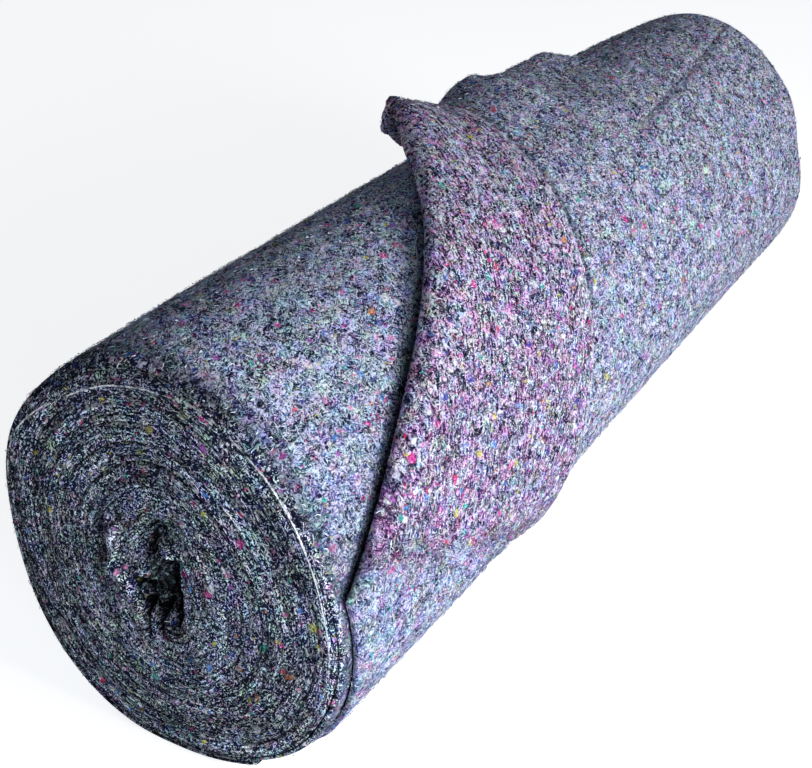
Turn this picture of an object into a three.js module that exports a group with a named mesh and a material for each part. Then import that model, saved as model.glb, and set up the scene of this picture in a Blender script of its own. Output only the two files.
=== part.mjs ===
// Roll of capillary matting: one long strip of thick recycled-fibre felt, wound up on itself.
// The last turn is loose, and its near corner is folded back over the roll.
// Millimetres, +Z up, the roll lies along X with its near end at -X.
// The origin is the middle of the small flat spot that the roll rests on.

import * as THREE from 'three';

// Driving sizes
const rollLength = 1000;
const rollRadius = 151;
const feltThickness = 4;
const looseGap = 0.9;
const flatSpotDepth = 1.2;

// Round the roll, angles run in degrees from straight down (0), over -Y (90) and the top (180), to +Y (270).
const wrapStart = 25;
const stepWidth = 0.2;
const turnSegments = 84;

// The section is a little taller than wide: each lobe adds a share of the radius.
const sectionLobes = [
  { count: 2, cosine: 0.053, sine: 0.018 },
  { count: 3, cosine: -0.016, sine: -0.013 },
];

// Near each end the section is out of shape: how far it stands out, fading over endReach.
const endReach = 140;
const nearBulge = [
  { angle: 0, bulge: 0 },
  { angle: 40, bulge: 0 },
  { angle: 60, bulge: -2 },
  { angle: 90, bulge: 0 },
  { angle: 200, bulge: -1 },
  { angle: 214, bulge: -2 },
  { angle: 228, bulge: 0 },
  { angle: 240, bulge: 2.5 },
  { angle: 252, bulge: 3 },
  { angle: 268, bulge: 1 },
  { angle: 285, bulge: -0.5 },
  { angle: 303, bulge: 1 },
  { angle: 328, bulge: 4 },
  { angle: 342, bulge: 3.5 },
  { angle: 353, bulge: 1 },
];
const farBulge = [
  { angle: 60, bulge: 1 },
  { angle: 78, bulge: 1.5 },
  { angle: 92, bulge: -1.5 },
  { angle: 101, bulge: -3.5 },
  { angle: 111, bulge: -1 },
  { angle: 124, bulge: 3.5 },
  { angle: 140, bulge: 3.2 },
  { angle: 160, bulge: 3 },
  { angle: 178, bulge: 1 },
  { angle: 188, bulge: -2 },
  { angle: 200, bulge: -5.5 },
  { angle: 212, bulge: -6 },
  { angle: 235, bulge: -2 },
  { angle: 255, bulge: 0 },
  { angle: 330, bulge: 0 },
];

// Rims: how far the outer turns stand back from the end face, over what width the rim rounds off,
// and how far the last turn has sprung away from the turn below it.
const nearRim = [
  { angle: 18, setBack: 4, rounding: 13, spring: 0 },
  { angle: 95, setBack: 4, rounding: 14, spring: 0 },
  { angle: 130, setBack: 9, rounding: 18, spring: 0 },
  { angle: 165, setBack: 15, rounding: 24, spring: 0 },
  { angle: 200, setBack: 17, rounding: 28, spring: 0 },
  { angle: 213, setBack: 14, rounding: 26, spring: 0 },
  { angle: 228, setBack: 4, rounding: 20, spring: 0 },
  { angle: 237, setBack: 2, rounding: 16, spring: 0 },
  { angle: 270, setBack: 2, rounding: 12, spring: 0 },
  { angle: 300, setBack: 2, rounding: 10, spring: 1 },
  { angle: 325, setBack: 2, rounding: 10, spring: 1.6 },
  { angle: 345, setBack: 2, rounding: 10, spring: 1.4 },
];
const farRim = [
  { angle: 0, setBack: 6, rounding: 14, spring: 0 },
  { angle: 120, setBack: 7, rounding: 16, spring: 0 },
  { angle: 240, setBack: 7, rounding: 16, spring: 0 },
];

// The slit under the last turn, open at each end.
const slit = { width: 0.9, depth: 16, rounding: 0.6 };
const outerEdge = { width: 0.4, rounding: 1.2 };
const skinStart = 5;

// The first turns have collapsed and leave a crumpled upright hollow in the middle of each end.
const nearHollow = { y: 2, z: -8, depth: 110, shrink: 0.4 };
const nearMouth = [
  { angle: 0, radius: 46 },
  { angle: 20, radius: 35 },
  { angle: 45, radius: 21 },
  { angle: 90, radius: 14 },
  { angle: 140, radius: 19 },
  { angle: 165, radius: 33 },
  { angle: 180, radius: 40 },
  { angle: 200, radius: 20 },
  { angle: 235, radius: 15 },
  { angle: 275, radius: 27 },
  { angle: 305, radius: 21 },
  { angle: 340, radius: 50 },
];
const farHollow = { y: -3, z: 4, depth: 60, shrink: 0.5 };
const farMouth = [
  { angle: 0, radius: 30 },
  { angle: 50, radius: 14 },
  { angle: 120, radius: 12 },
  { angle: 175, radius: 34 },
  { angle: 230, radius: 15 },
  { angle: 300, radius: 13 },
];

const mouthRounding = { depth: 4, share: 0.033 };
const hollowSteps = [1, 0.55, 0.15];

// A bunch of crumpled inner turns stands proud beside the hollow, with a crescent dent behind it.
// Round the roll it reaches halfAngle each way, and fades out over the last part of that.
const crumple = { angle: 256, halfAngle: 52, fade: 0.7 };
const crumpleRidge = { radius: 49, width: 12, height: 5 };
const crumpleDent = { radius: 68, width: 12, height: -8 };

// Where the face rings lie, as shares of the way from the mouth to the last turn.
const faceShares = [0.07, 0.16, 0.25, 0.33, 0.4, 0.48, 0.6, 0.78];
const innerRim = 4;

// Loose turn, laid out flat: `across` runs along the roll, `along` runs round it.
const nearSelvedge = 9;
const farSelvedge = 996;
const cutEnd = 603;

// The near selvedge wanders: it stands further back where it comes out from under the roll.
const wanderFade = 160;
const selvedgeWander = [
  { along: 60, back: 24 },
  { along: 130, back: 13 },
  { along: 200, back: 3 },
  { along: 271, back: 0 },
];

// The corner folds back along a straight line that starts on the near selvedge and rises at this slope.
const foldStart = 271;
const foldSlope = 0.62;

// Lip of the fold, from the near selvedge to the cut end: how high the lower layer and the crest stand
// off their seats, how far the lip is pushed outwards, and over what width the crest falls to the flap.
const lip = [
  { along: 0, lower: 0.6, crest: 3.2, push: 1, shoulder: 45 },
  { along: 120, lower: 1.5, crest: 8, push: 7, shoulder: 60 },
  { along: 230, lower: 2.5, crest: 11, push: 3, shoulder: 65 },
  { along: 340, lower: 4, crest: 12, push: 0, shoulder: 65 },
  { along: 430, lower: 5, crest: 13, push: 5, shoulder: 60 },
  { along: 500, lower: 20, crest: 21, push: 0, shoulder: 48 },
  { along: 550, lower: 14, crest: 19.5, push: 7, shoulder: 38 },
  { along: 600, lower: 8, crest: 19, push: 7, shoulder: 32 },
  { along: 640, lower: 8, crest: 5, push: 0, shoulder: 30 },
];
const flapGap = 1.3;

// The loose turn lifts off over the top and hangs free behind: where the lift starts, and its full height.
const fullLiftAt = 552;
const hangDrop = 0.4;
const topLift = [
  { across: 300, start: 440, lift: 12 },
  { across: 400, start: 440, lift: 24 },
  { across: 490, start: 445, lift: 20 },
  { across: 535, start: 450, lift: 23 },
  { across: 562, start: 455, lift: 26 },
  { across: 590, start: 460, lift: 35 },
  { across: 608, start: 465, lift: 30 },
  { across: 622, start: 471, lift: 28 },
  { across: 636, start: 478, lift: 27 },
  { across: 655, start: 484, lift: 23 },
  { across: 690, start: 492, lift: 23 },
  { across: 725, start: 496, lift: 22 },
  { across: 752, start: 500, lift: 20 },
  { across: 766, start: 502, lift: 12 },
  { across: 778, start: 504, lift: 5 },
  { across: 795, start: 506, lift: 2 },
  { across: 880, start: 510, lift: 0 },
];

// Below the widest point the turn sags off the roll, most of all in the folded-back corner.
const belly = { along: 138, width: 60 };
const bellyLift = [
  { across: 90, lift: 0 },
  { across: 150, lift: 1.5 },
  { across: 215, lift: 2.6 },
  { across: 270, lift: 1 },
  { across: 330, lift: 6 },
  { across: 380, lift: 1 },
  { across: 450, lift: 0 },
];
const cornerSag = { below: 180, reach: 100, drop: 4, from: 150, width: 180 };

// Grid of the loose turn
const acrossStations = [
  { to: 560, pieces: 25 },
  { to: 820, pieces: 13 },
  { to: farSelvedge, pieces: 3 },
];
const rowsBeforeFold = 26;
const rowsInFold = 8;
const rowsInFlap = 14;

// The band of close rows lies round the fold line, and by the cut end once the line has left the cloth.
// There it widens as the line moves away, over `over`.
const foldBand = { before: 22, after: 26 };
const endBand = { before: 34, after: 16, moreBefore: 150, moreAfter: 90, over: 120 };

const toRadians = Math.PI / 180;
const smooth = (x) => {
  const t = Math.min(1, Math.max(0, x));
  return t * t * (3 - 2 * t);
};

// Value of one column of a table at a place, on a smooth curve through the rows.
function read(table, key, column, place) {
  const last = table.length - 1;
  if (place <= table[0][key]) return table[0][column];
  if (place >= table[last][key]) return table[last][column];
  let i = 0;
  while (table[i + 1][key] < place) i += 1;
  const slope = (k) => {
    const before = table[Math.max(0, k - 1)];
    const after = table[Math.min(last, k + 1)];
    return (after[column] - before[column]) / (after[key] - before[key]);
  };
  const span = table[i + 1][key] - table[i][key];
  const t = (place - table[i][key]) / span;
  const start = table[i][column];
  const end = table[i + 1][column];
  const rise = t * (1 - t) * (1 - t) * span * slope(i);
  const fall = t * t * (t - 1) * span * slope(i + 1);
  return start + (end - start) * smooth(t) + rise + fall;
}

// The same for a table of angles that closes on itself round the roll.
function readRound(table, column, angle) {
  const turned = (row, by) => ({ ...row, angle: row.angle + by });
  const before = table.slice(-2).map((row) => turned(row, -360));
  const after = table.slice(0, 2).map((row) => turned(row, 360));
  return read([...before, ...table, ...after], 'angle', column, angle % 360);
}

// Section of the wound roll

function sectionRadius(x, angle) {
  let share = 1;
  for (const lobe of sectionLobes) {
    share += lobe.cosine * Math.cos(lobe.count * angle * toRadians);
    share += lobe.sine * Math.sin(lobe.count * angle * toRadians);
  }
  const near = readRound(nearBulge, 'bulge', angle) * (1 - smooth(x / endReach));
  const far = readRound(farBulge, 'bulge', angle) * (1 - smooth((rollLength - x) / endReach));
  return rollRadius * share + near + far;
}

// Outer radius of the last tight turn. It grows by one thickness in the turn that begins at wrapStart.
function turnRadius(x, angle) {
  const turn = (angle - wrapStart) / 360;
  return sectionRadius(x, angle) + feltThickness * (turn - 0.5);
}

const axisHeight = turnRadius(rollLength / 2, 360) - flatSpotDepth;

// A point from its place along the roll (x, from the near end) and its polar place round the axis.
function rollPoint(x, angle, radius) {
  const y = -radius * Math.sin(angle * toRadians);
  const z = Math.max(0, axisHeight - radius * Math.cos(angle * toRadians));
  return new THREE.Vector3(x - rollLength / 2, y, z);
}

// The angles of one turn, with the small step at its start.
function turnAngles() {
  const angles = [];
  const first = wrapStart + stepWidth / 2;
  const span = 360 - stepWidth;
  for (let i = 0; i <= turnSegments; i += 1) angles.push(first + (span * i) / turnSegments);
  return angles;
}

// Depth of the rim's rounding, at a distance in from the roll's skin.
function rimDepth(rim, angle, inward) {
  const setBack = readRound(rim, 'setBack', angle);
  const share = Math.max(0, 1 - inward / readRound(rim, 'rounding', angle));
  return setBack * (1 - Math.sqrt(1 - share * share));
}

// Height of the crumpled bunch beside the near hollow over the end face.
function crumpleHeight(angle, radius) {
  const turn = Math.abs(((angle - crumple.angle + 540) % 360) - 180);
  const share = smooth((1 - turn / crumple.halfAngle) / crumple.fade);
  const bell = ({ radius: middle, width, height }) => height * Math.exp(-(((radius - middle) / width) ** 2));
  return share * (bell(crumpleRidge) + bell(crumpleDent));
}

// Rings of one end, from the blind end of its hollow out to the skin.
// Depth is measured from the end face into the roll.
function endRings({ endX, rim, mouth, hollow, heightAt }) {
  const angles = turnAngles();
  const slitInner = feltThickness + slit.width;
  const tightRadius = (angle, inward) => turnRadius(endX, angle) - inward;
  const place = (y, z, depth) => {
    const angle = Math.atan2(-y, -z) / toRadians;
    return { angle, radius: Math.hypot(y, z), depth };
  };
  const mouthPoint = (angle, shrink) => {
    const radius = readRound(mouth, 'radius', angle) * shrink;
    return {
      y: hollow.y - radius * Math.sin(angle * toRadians),
      z: hollow.z - radius * Math.cos(angle * toRadians),
    };
  };
  const hollowRing = (step) => angles.map((angle) => {
    const { y, z } = mouthPoint(angle, 1 - (1 - hollow.shrink) * step);
    return place(y, z, hollow.depth * step);
  });
  const faceRing = (share) => angles.map((angle) => {
    const inner = mouthPoint(angle, 1);
    const reach = tightRadius(angle, slitInner);
    const y = inner.y + (-reach * Math.sin(angle * toRadians) - inner.y) * share;
    const z = inner.z + (-reach * Math.cos(angle * toRadians) - inner.z) * share;
    const at = place(y, z, 0);
    const mouthDepth = mouthRounding.depth * Math.exp(-share / mouthRounding.share);
    const inward = tightRadius(angle, 0) - reach * share;
    at.depth = mouthDepth + rimDepth(rim, angle, inward) - heightAt(at.angle, at.radius);
    return at;
  });
  const rimRing = (inward, depth, springShare) => angles.map((angle) => {
    const radius = tightRadius(angle, inward) + readRound(rim, 'spring', angle) * springShare;
    return { angle, radius, depth: rimDepth(rim, angle, inward) + depth };
  });
  const skinRing = (depth) => angles.map((angle) => {
    const spring = readRound(rim, 'spring', angle) * smooth(1 - depth / endReach);
    const x = Math.abs(endX - depth);
    return { angle, radius: turnRadius(x, angle) + spring, depth: depth + readRound(rim, 'setBack', angle) };
  });
  return [
    ...hollowSteps.map(hollowRing),
    ...[0, ...faceShares].map(faceRing),
    rimRing(slitInner + innerRim, 0, 0),
    rimRing(slitInner, slit.rounding, 0),
    rimRing(slitInner - slit.width / 4, slit.depth, 0),
    rimRing(feltThickness + slit.width / 4, slit.depth, 0.5),
    rimRing(feltThickness, slit.rounding, 1),
    rimRing(feltThickness / 2, 0, 1),
    rimRing(outerEdge.width, outerEdge.rounding, 1),
    skinRing(skinStart),
    skinRing(0.3 * endReach),
    skinRing(0.6 * endReach),
    skinRing(endReach),
  ];
}

// One closed body through rings of equal length, closed with a fan at its first and last ring.
function bodyThroughRings(rings) {
  const count = rings[0].length;
  const positions = [];
  for (const ring of rings) for (const point of ring) positions.push(...point.toArray());
  const firstMiddle = rings.length * count;
  for (const ring of [rings[0], rings[rings.length - 1]]) {
    const middle = new THREE.Vector3();
    for (const point of ring) middle.addScaledVector(point, 1 / count);
    positions.push(...middle.toArray());
  }
  const indices = [];
  const lastStart = (rings.length - 1) * count;
  for (let j = 0; j < count; j += 1) {
    const k = (j + 1) % count;
    for (let i = 0; i < rings.length - 1; i += 1) {
      const a = i * count;
      const b = a + count;
      indices.push(a + j, b + j, b + k, a + j, b + k, a + k);
    }
    indices.push(firstMiddle, j, k);
    indices.push(firstMiddle + 1, lastStart + k, lastStart + j);
  }
  return indexedGeometry(positions, indices);
}

function indexedGeometry(positions, indices) {
  const geometry = new THREE.BufferGeometry();
  geometry.setAttribute('position', new THREE.Float32BufferAttribute(positions, 3));
  geometry.setIndex(indices);
  return geometry;
}

function rollGeometry() {
  const nearEnd = { endX: 0, rim: nearRim, mouth: nearMouth, hollow: nearHollow, heightAt: crumpleHeight };
  const farEnd = { endX: rollLength, rim: farRim, mouth: farMouth, hollow: farHollow, heightAt: () => 0 };
  const near = endRings(nearEnd);
  const far = endRings(farEnd);
  const rings = near.map((ring) => ring.map((at) => rollPoint(at.depth, at.angle, at.radius)));
  for (const ring of far.reverse()) {
    rings.push(ring.map((at) => rollPoint(rollLength - at.depth, at.angle, at.radius)));
  }
  return bodyThroughRings(rings);
}

// Loose turn

const foldAngle = Math.atan(foldSlope);
const foldRun = { across: Math.cos(foldAngle), along: Math.sin(foldAngle) };

// Height of the turn's middle surface above the roll, where it lies unfolded.
function restHeight(across, along) {
  const start = read(topLift, 'across', 'start', across);
  const rise = smooth((along - start) / (fullLiftAt - start));
  const hang = 1 - hangDrop * smooth((along - fullLiftAt) / (cutEnd - fullLiftAt));
  const off = (along - belly.along) / belly.width;
  const sag = read(bellyLift, 'across', 'lift', across) * Math.exp(-off * off);
  return feltThickness / 2 + looseGap + read(topLift, 'across', 'lift', across) * rise * hang + sag;
}

// Extra height of the folded-back corner where it hangs below the roll's widest point.
function sagHeight(across, along) {
  const down = smooth((cornerSag.below - along) / cornerSag.reach);
  return cornerSag.drop * down * smooth((across - cornerSag.from) / cornerSag.width);
}

// Where a point of the flat turn lies: across, along and height above the roll.
// On the far side of the fold line it is mirrored back over the turn, past a round lip.
function foldedPlace(across, along) {
  const fromStart = { across: across - nearSelvedge, along: along - foldStart };
  const run = fromStart.across * foldRun.across + fromStart.along * foldRun.along;
  const past = -fromStart.across * foldRun.along + fromStart.along * foldRun.across;
  const at = (distance) => ({
    across: nearSelvedge + run * foldRun.across - distance * foldRun.along,
    along: foldStart + run * foldRun.along + distance * foldRun.across,
  });
  const row = (column) => read(lip, 'along', column, run);
  const shoulder = (distance) => 1 - smooth(-distance / row('shoulder'));
  const lowerHeight = (distance) => {
    const spot = at(distance);
    return restHeight(spot.across, spot.along) + row('lower') * shoulder(distance);
  };
  const upperHeight = (distance) => {
    const spot = at(distance);
    const seat = restHeight(spot.across, spot.along) + feltThickness + flapGap;
    return seat + row('crest') * shoulder(distance) + sagHeight(spot.across, spot.along);
  };
  const loopHeight = (upperHeight(0) - lowerHeight(0)) / 2;
  const halfLoop = (Math.PI / 2) * loopHeight;
  if (past <= -halfLoop) return { ...at(past), height: lowerHeight(past + halfLoop) };
  if (past >= halfLoop) return { ...at(-past), height: upperHeight(-past + halfLoop) };
  const swing = (past / halfLoop + 1) * (Math.PI / 2);
  const out = -halfLoop + (loopHeight + row('push')) * Math.sin(swing);
  const height = (upperHeight(0) + lowerHeight(0)) / 2 - loopHeight * Math.cos(swing);
  return { ...at(out), height };
}

function foldedPoint(across, along) {
  const spot = foldedPlace(across, along);
  const angle = spot.along / rollRadius / toRadians;
  const kept = 1 - smooth((across - nearSelvedge) / wanderFade);
  const back = read(selvedgeWander, 'along', 'back', along) * kept;
  return rollPoint(spot.across + back, angle, turnRadius(spot.across, angle) + spot.height);
}

// Rows of one column of the grid: close together where the corner folds over.
function rowPlaces(across) {
  const first = wrapStart * toRadians * rollRadius + looseGap;
  const fold = foldStart + (across - nearSelvedge) * foldSlope;
  const gone = smooth((fold - cutEnd) / endBand.over);
  const before = Math.min(fold - foldBand.before, cutEnd - endBand.before - endBand.moreBefore * gone);
  const after = Math.min(fold + foldBand.after, cutEnd - endBand.after - endBand.moreAfter * gone);
  const places = [];
  const spread = (from, to, pieces) => {
    for (let i = 0; i < pieces; i += 1) places.push(from + ((to - from) * i) / pieces);
  };
  spread(first, before, rowsBeforeFold);
  spread(before, after, rowsInFold);
  spread(after, cutEnd, rowsInFlap);
  places.push(cutEnd);
  return places;
}

function columnPlaces() {
  const places = [nearSelvedge];
  for (const { to, pieces } of acrossStations) {
    const from = places[places.length - 1];
    for (let i = 1; i <= pieces; i += 1) places.push(from + ((to - from) * i) / pieces);
  }
  return places;
}

// One closed sheet: the middle surface's points are moved half a thickness each way along its normal.
function looseEndGeometry() {
  const columns = columnPlaces();
  const rowCount = rowsBeforeFold + rowsInFold + rowsInFlap + 1;
  const positions = [];
  const probe = 0.5;
  for (const side of [0.5, -0.5]) {
    for (const across of columns) {
      for (const along of rowPlaces(across)) {
        const acrossRun = foldedPoint(across + probe, along).sub(foldedPoint(across - probe, along));
        const alongRun = foldedPoint(across, along + probe).sub(foldedPoint(across, along - probe));
        const normal = acrossRun.cross(alongRun).normalize();
        const point = foldedPoint(across, along).addScaledVector(normal, side * feltThickness);
        positions.push(...point.toArray());
      }
    }
  }
  const under = columns.length * rowCount;
  const indices = [];
  const span = (a, b) => Math.hypot(...[0, 1, 2].map((k) => positions[3 * a + k] - positions[3 * b + k]));
  const quad = (a, b, c, d) => {
    if (span(a, c) <= span(b, d)) indices.push(a, b, c, a, c, d);
    else indices.push(a, b, d, b, c, d);
  };
  for (let i = 0; i < columns.length - 1; i += 1) {
    for (let j = 0; j < rowCount - 1; j += 1) {
      const a = i * rowCount + j;
      const b = a + rowCount;
      quad(a, b, b + 1, a + 1);
      quad(under + a, under + a + 1, under + b + 1, under + b);
    }
  }
  const rim = (a, b) => quad(a, under + a, under + b, b);
  const lastColumn = (columns.length - 1) * rowCount;
  for (let i = 0; i < columns.length - 1; i += 1) {
    rim(i * rowCount, (i + 1) * rowCount);
    rim((i + 2) * rowCount - 1, (i + 1) * rowCount - 1);
  }
  for (let j = 0; j < rowCount - 1; j += 1) {
    rim(j + 1, j);
    rim(lastColumn + j, lastColumn + j + 1);
  }
  return indexedGeometry(positions, indices);
}

// Materials

function feltMaterial(colour) {
  return new THREE.MeshStandardMaterial({ color: colour, roughness: 0.95, metalness: 0 });
}

function named(name, geometry, material) {
  geometry.computeVertexNormals();
  const mesh = new THREE.Mesh(geometry, material);
  mesh.name = name;
  return mesh;
}

const mattingRoll = new THREE.Group();
mattingRoll.add(named('matting_roll', rollGeometry(), feltMaterial(0x66667a)));
mattingRoll.add(named('loose_end', looseEndGeometry(), feltMaterial(0x77708a)));

export default mattingRoll;
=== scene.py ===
"""A roll of capillary matting: recycled felt wound up on itself, one corner of the last turn folded back."""

import math

import bmesh
import bpy
import numpy as np
from bpy.props import FloatProperty, FloatVectorProperty, IntProperty, PointerProperty
from bpy.types import Operator, Panel, PropertyGroup
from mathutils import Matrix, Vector, noise
from mathutils.bvhtree import BVHTree


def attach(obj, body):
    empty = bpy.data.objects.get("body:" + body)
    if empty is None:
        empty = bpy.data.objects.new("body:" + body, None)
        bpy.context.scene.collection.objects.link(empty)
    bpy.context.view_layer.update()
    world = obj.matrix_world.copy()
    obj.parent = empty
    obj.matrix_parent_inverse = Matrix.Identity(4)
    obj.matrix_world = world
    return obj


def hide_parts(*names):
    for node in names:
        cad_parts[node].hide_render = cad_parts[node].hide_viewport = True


bl_info = {
    "name": "Roll of capillary matting",
    "version": (1, 0, 0),
    "blender": (4, 5, 0),
    "location": "3D Viewport > Sidebar > Matting",
    "description": "Builds a roll of recycled felt matting with one corner of its last turn folded back",
    "category": "Add Mesh",
}

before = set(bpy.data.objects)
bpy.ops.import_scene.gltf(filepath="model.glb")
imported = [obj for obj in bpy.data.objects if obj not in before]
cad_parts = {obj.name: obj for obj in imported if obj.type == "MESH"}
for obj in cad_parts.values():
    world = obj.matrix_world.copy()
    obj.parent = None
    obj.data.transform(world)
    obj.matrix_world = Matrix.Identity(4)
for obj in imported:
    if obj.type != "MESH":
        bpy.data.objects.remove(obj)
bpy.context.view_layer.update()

# The fibres lie mostly along this direction: angle from +X, angle down,
# and how much longer the marl is along it.
LAY_TURN, LAY_TILT, LAY_STRETCH = math.radians(30), math.radians(29), 2.1

# Loose fibres keep this far off the floor, and clear of felt that lies this close over them.
FIBRE_FLOOR_GAP = 0.009
FIBRE_HEADROOM = 0.012

# The shape tables are in millimetres, as in the CAD source, and the meshes in metres.
MM = 0.001

# Round the roll, angles run in degrees from straight down (0), over -Y (90) and the top (180), to +Y (270).
# Lobes of the section: count, cosine share, sine share.
SECTION_LOBES = [(2, 0.053, 0.018), (3, -0.016, -0.013)]

# Near each end the section is out of shape: angle, how far it stands out.
END_REACH = 140
NEAR_BULGE = [
    (0, 0), (40, 0), (60, -2), (90, 0), (200, -1), (214, -2), (228, 0), (240, 2.5),
    (252, 3), (268, 1), (285, -0.5), (303, 1), (328, 4), (342, 3.5), (353, 1),
]
FAR_BULGE = [
    (60, 1), (78, 1.5), (92, -1.5), (101, -3.5), (111, -1), (124, 3.5), (140, 3.2), (160, 3),
    (178, 1), (188, -2), (200, -5.5), (212, -6), (235, -2), (255, 0), (330, 0),
]

# Rims: angle, how far the outer turns stand back, over what width the rim rounds off,
# how far the last turn has sprung.
NEAR_RIM = [
    (18, 4, 13, 0), (95, 4, 14, 0), (130, 9, 18, 0), (165, 15, 24, 0), (200, 17, 28, 0), (213, 14, 26, 0),
    (228, 4, 20, 0), (237, 2, 16, 0), (270, 2, 12, 0), (300, 2, 10, 1), (325, 2, 10, 1.6), (345, 2, 10, 1.4),
]
# How far open the slit under the last turn is: angle, share.
SLIT_OPEN = [
    (20, 1), (60, 1), (92, 0.8), (108, 0.25), (125, 0.06), (225, 0.06), (250, 0.35), (290, 0.8), (345, 1),
]
FAR_RIM = [(0, 6, 14, 0), (120, 7, 16, 0), (240, 7, 16, 0)]
SET_BACK, ROUNDING, SPRING = 1, 2, 3
# The skin is a little darker this near the rim.
RIM_SHADE_REACH = 26

# The collapsed first turns leave a hollow in each end: its middle, depth and shrinking,
# and angle by radius of its mouth.
NEAR_HOLLOW = {"y": -4, "z": -12, "depth": 80, "shrink": 0.55}
NEAR_MOUTH = [
    (0, 25), (14, 22), (35, 10), (60, 7), (90, 6), (125, 7), (150, 12), (170, 23), (184, 22), (205, 11),
    (235, 8), (270, 7), (305, 8), (335, 14), (350, 23),
]
FAR_HOLLOW = {"y": -3, "z": 4, "depth": 60, "shrink": 0.5}
FAR_MOUTH = [(0, 30), (50, 14), (120, 12), (175, 34), (230, 15), (300, 13)]
# Rows of points down a hollow, as shares of its depth, and along the skin from the rim, in millimetres.
HOLLOW_ROWS = (1, 0.8, 0.62, 0.48, 0.38, 0.3, 0.235, 0.18, 0.135, 0.1, 0.07, 0.045, 0.025, 0.01)
SKIN_ROWS = (2.6, 5, 9, 15, 24, 36, 50, 66, 84, 104, 122, END_REACH)
MIDDLE_ROWS = 32

# Ridges and troughs of the collapsed first turns round the near hollow: y and z of both ends, width, height.
CORE_FOLDS = [
    (-4, 13, -3, -30, 6.5, -22),
    (10, -4, 8, -24, 9, -8),
    (1, 37, 12, 17, 6.5, -11),
    (2, 35, -9, 22, 4, 8),
    (4, 19, -2, 12, 4.5, -10),
    (12, 17, 2, 18, 3, 3.5),
    (26, -6, 14, -1, 2.2, 7),
    (27, -12, 18, -15, 2.8, -11),
    (12, -7, -1, -4, 2.4, 6),
    (8, -25, 1, -20, 3, 6),
    (17, -28, 18, -58, 2.5, -15),
    (12, -34, 13, -54, 2.6, 4),
    (7, -28, 8, -50, 2.4, -13),
    (-3, -30, -5, -42, 2.8, -12),
    (43, 24, 40, -4, 7, 6), (40, -4, 33, -26, 7, 5.5), (33, -26, 24, -40, 6, 4),
    (53, 30, 54, -6, 5.5, -4.5), (54, -6, 47, -34, 5.5, -3),
    (25, 50, -5, 58, 7, 2.5),
]

# The pale edge of one turn that stands out from the near rim: angle, distance in from the skin.
PALE_EDGE = [
    (60, 10), (77, 10), (96, 10), (107, 8.7), (116, 7.3), (125, 6.2), (134, 6), (141, 6.5), (149, 8),
    (158, 8.3), (167, 10), (178, 15), (189, 18), (204, 20), (216, 16), (231, 8.5), (240, 4.6), (250, 3.4),
    (300, 3), (350, 5),
]
# How far that edge stands out, and how bright its pale fibres and painted highlight are: angle, share.
EDGE_RISE_AND_HIGHLIGHT = [
    (60, 0.1), (80, 0.35), (90, 0.8), (100, 1), (136, 1), (141, 0.5), (150, 0.3), (165, 0.25), (180, 0.3),
    (204, 0.45), (216, 0.5), (231, 0.45), (245, 0.3), (262, 0.1), (300, 0.05), (350, 0.1),
]

# The loose turn, laid out flat: across runs along the roll, along runs round it.
# Along, how far the selvedge stands back.
SELVEDGE_WANDER = [(60, 24), (130, 13), (200, 3), (271, 0)]
WANDER_FADE = 160

# Lip of the fold: along, lower height, crest height, push outwards, width of the shoulder.
LIP = [
    (0, 0.6, 3.2, 1, 45), (120, 1.5, 8, 7, 60), (230, 2.5, 11, 3, 65), (340, 4, 12, 0, 65), (430, 5, 13, 5, 60),
    (500, 20, 21, 0, 48), (550, 14, 19.5, 7, 38), (600, 8, 19, 7, 32), (640, 8, 5, 0, 30),
]
LOWER, CREST, PUSH, SHOULDER = 1, 2, 3, 4

# The loose turn lifts off over the top: across, where the lift starts, its full height.
TOP_LIFT = [
    (300, 440, 12), (400, 440, 24), (490, 445, 20), (535, 450, 23), (562, 455, 26), (590, 460, 35),
    (608, 465, 30), (622, 471, 28), (636, 478, 27), (655, 484, 23), (690, 492, 23), (725, 496, 22),
    (752, 500, 20), (766, 502, 12), (778, 504, 5), (795, 506, 2), (880, 510, 0),
]
START, LIFT = 1, 2
FULL_LIFT_AT = 552
HANG_DROP = 0.4

# Below the widest point the turn sags off the roll: across, lift.
BELLY_LIFT = [(90, 0), (150, 1.5), (215, 2.6), (270, 1), (330, 6), (380, 1), (450, 0)]
BELLY_ALONG, BELLY_WIDTH = 138, 60
CORNER_SAG = {"below": 180, "reach": 100, "drop": 4, "from": 150, "width": 180}

# Corners of the lifted edge, pinched: where, the pull there, and how far it reaches.
PINCHES = [
    ((-55, 87, 350), (1.6, 2.2, 4.8), 9),
    ((-6, 119, 307), (-1.8, 3.2, -1.8), 11),
    ((91, 84, 336), (1, 0.6, 2.1), 9),
    ((92, 66, 341), (-1, -0.6, -2.2), 7),
    ((243, 78, 325), (1.2, 0.7, 2.4), 9),
    ((231, 53, 326), (-1.7, -1, -3.4), 8),
]

# Soft creases of the loose turn: across and along of both ends, width, height.
SHEET_CREASES = [
    (650, 406, 955, 434, 4.5, -3.2), (650, 398, 950, 425, 6, 1.4),
    (763, 485, 786, 508, 8, -3.6),
]
# The first of them, as a line in the felt: its slope, and where it meets the edge of the strip in metres.
CREASE_SLOPE, CREASE_AT = 0.092, 0.3462


# ---------------------------------------------------------------- settings


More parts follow.
